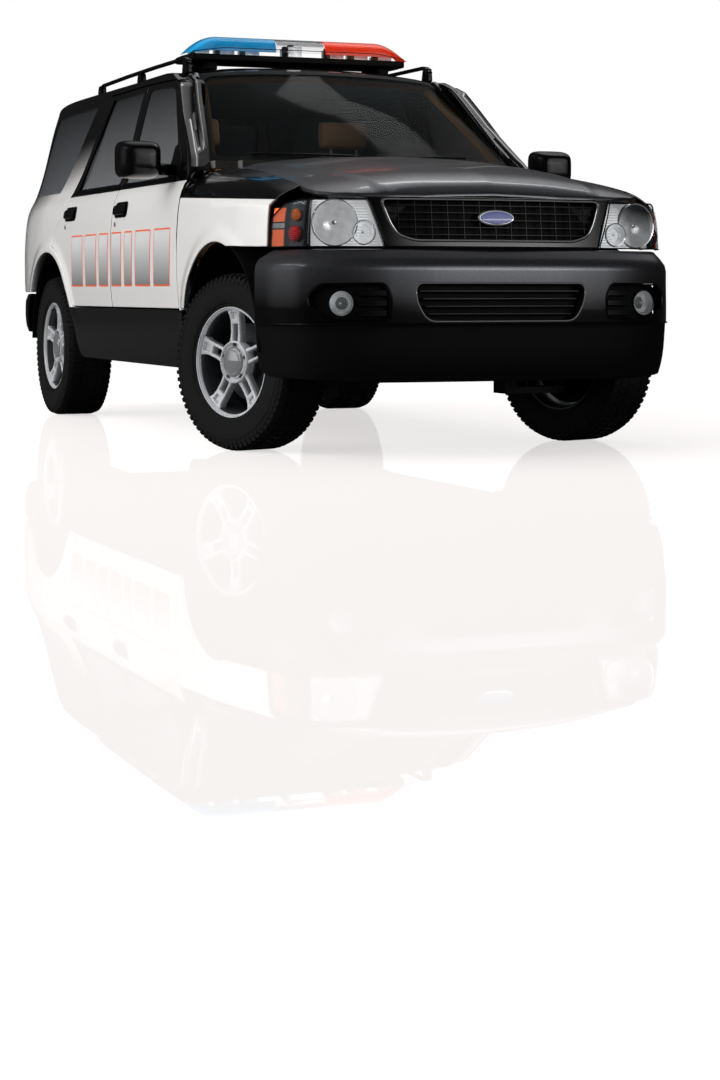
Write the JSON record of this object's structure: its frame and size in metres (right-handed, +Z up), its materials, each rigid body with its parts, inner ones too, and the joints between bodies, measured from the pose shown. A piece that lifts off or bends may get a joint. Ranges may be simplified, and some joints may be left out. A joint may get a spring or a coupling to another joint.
{
  "type": "police patrol sport-utility car",
  "caption": "Black and white police patrol car with hinged doors, hood and liftgate, steered front wheels, turning wheels and a roof light bar.",
  "frame": {"origin": "on the ground under the middle of the car's length and width", "axes": "+X to the car's left side, -Y towards the car's front, +Z up"},
  "size_m": [2.248, 4.816, 1.904],
  "materials": {
    "frame_paint": "satin",
    "engine_metal": "rough",
    "under_body": "satin",
    "white_paint": "gloss",
    "black_paint": "gloss",
    "charcoal_paint": "metallic gloss",
    "liner_plastic": "matte",
    "clear_glass": "clear",
    "dark_glass": "dark tint",
    "grille_plastic": "gloss",
    "lamp_lens": "clear",
    "trim_plastic": "grained",
    "red_lens": "clear red",
    "blue_lens": "clear coloured",
    "tan_plastic": "grained",
    "seat_fabric": "woven",
    "chassis_steel": "rough",
    "exhaust_steel": "brushed",
    "black_leather": "grained",
    "tyre": "matte",
    "rim_alloy": "satin"
  },
  "bodies": {
    "car_body": {"frame_rails": "frame_paint", "engine_block": "engine_metal", "floor_pan": "under_body", "body_side_left": "white_paint", "body_side_right": "white_paint", "front_fenders": "black_paint", "wheel_liners": "liner_plastic", "roof_panel": "black_paint", "windshield": "clear_glass", "quarter_glass": "dark_glass", "front_bumper": "charcoal_paint", "grille": "grille_plastic", "headlamps": "lamp_lens", "rear_bumper": "trim_plastic", "tail_lamps": "red_lens", "roof_rails": "trim_plastic", "light_bar_base": "trim_plastic", "light_bar_domes": "blue_lens", "dashboard": "tan_plastic", "front_seats": "seat_fabric", "rear_seat": "seat_fabric", "front_suspension": "chassis_steel", "rear_axle": "chassis_steel", "exhaust": "exhaust_steel", "fuel_tank": "liner_plastic"},
    "hood": {"hood": "charcoal_paint"},
    "liftgate": {"liftgate": "black_paint", "liftgate_glass": "dark_glass"},
    "front_door_left": {"front_door_left": "white_paint", "front_door_glass_left": "clear_glass", "mirror_left": "trim_plastic"},
    "front_door_right": {"front_door_right": "white_paint", "front_door_glass_right": "clear_glass", "mirror_right": "trim_plastic"},
    "rear_door_left": {"rear_door_left": "white_paint", "rear_door_glass_left": "dark_glass"},
    "rear_door_right": {"rear_door_right": "white_paint", "rear_door_glass_right": "dark_glass"},
    "fuel_door": {"fuel_door": "white_paint"},
    "steering_wheel": {"steering_wheel": "black_leather"},
    "knuckle_left": {"knuckle_left": "chassis_steel"},
    "knuckle_right": {"knuckle_right": "chassis_steel"},
    "wheel_front_left": {"tyre_front_left": "tyre", "rim_front_left": "rim_alloy"},
    "wheel_front_right": {"tyre_front_right": "tyre", "rim_front_right": "rim_alloy"},
    "wheel_rear_left": {"tyre_rear_left": "tyre", "rim_rear_left": "rim_alloy"},
    "wheel_rear_right": {"tyre_rear_right": "tyre", "rim_rear_right": "rim_alloy"}
  },
  "joints": [
    {"name": "hood_hinge", "type": "hinge", "parent": "car_body", "child": "hood", "pos_m": [0, -1.062, 1.262], "axis": [-1, 0, 0], "range_deg": [0, 50]},
    {"name": "liftgate_hinge", "type": "hinge", "parent": "car_body", "child": "liftgate", "pos_m": [0, 2.004, 1.718], "axis": [1, 0, 0], "range_deg": [0, 85]},
    {"name": "front_door_left_hinge", "type": "hinge", "parent": "car_body", "child": "front_door_left", "pos_m": [0.9075, -0.9665, 1], "axis": [0, 0, -1], "range_deg": [0, 65]},
    {"name": "front_door_right_hinge", "type": "hinge", "parent": "car_body", "child": "front_door_right", "pos_m": [-0.9075, -0.9665, 1], "axis": [0, 0, 1], "range_deg": [0, 65]},
    {"name": "rear_door_left_hinge", "type": "hinge", "parent": "car_body", "child": "rear_door_left", "pos_m": [0.9075, 0.1265, 1], "axis": [0, 0, -1], "range_deg": [0, 68]},
    {"name": "rear_door_right_hinge", "type": "hinge", "parent": "car_body", "child": "rear_door_right", "pos_m": [-0.9075, 0.1265, 1], "axis": [0, 0, 1], "range_deg": [0, 68]},
    {"name": "fuel_door_hinge", "type": "hinge", "parent": "car_body", "child": "fuel_door", "pos_m": [0.9095, 1.516, 0.985], "axis": [0, 0, -1], "range_deg": [0, 100]},
    {"name": "steer_left", "type": "hinge", "parent": "car_body", "child": "knuckle_left", "pos_m": [0.7, -1.547, 0.368], "axis": [0, 0, 1], "range_deg": [-53, 13]},
    {"name": "steer_right", "type": "hinge", "parent": "car_body", "child": "knuckle_right", "pos_m": [-0.7, -1.547, 0.368], "axis": [0, 0, 1], "range_deg": [-53, 13]},
    {"name": "steering_wheel_turn", "type": "hinge", "parent": "car_body", "child": "steering_wheel", "pos_m": [0.38, -0.432, 1.052], "axis": [0, 0.9272, 0.3746], "range_deg": [-901, 221]},
    {"name": "wheel_front_left_spin", "type": "hinge", "parent": "knuckle_left", "child": "wheel_front_left", "pos_m": [0.76907, -1.52186, 0.368], "axis": [0.9397, 0.342, 0], "continuous": true},
    {"name": "wheel_front_right_spin", "type": "hinge", "parent": "knuckle_right", "child": "wheel_front_right", "pos_m": [-0.76907, -1.57214, 0.368], "axis": [0.9397, 0.342, 0], "continuous": true},
    {"name": "wheel_rear_left_spin", "type": "hinge", "parent": "car_body", "child": "wheel_rear_left", "pos_m": [0.7735, 1.344, 0.368], "axis": [1, 0, 0], "continuous": true},
    {"name": "wheel_rear_right_spin", "type": "hinge", "parent": "car_body", "child": "wheel_rear_right", "pos_m": [-0.7735, 1.344, 0.368], "axis": [1, 0, 0], "continuous": true}
  ],
  "couplings": [
    {"joint": "steer_right", "follows": "steer_left", "ratio": 1},
    {"joint": "steering_wheel_turn", "follows": "steer_left", "ratio": 17}
  ]
}
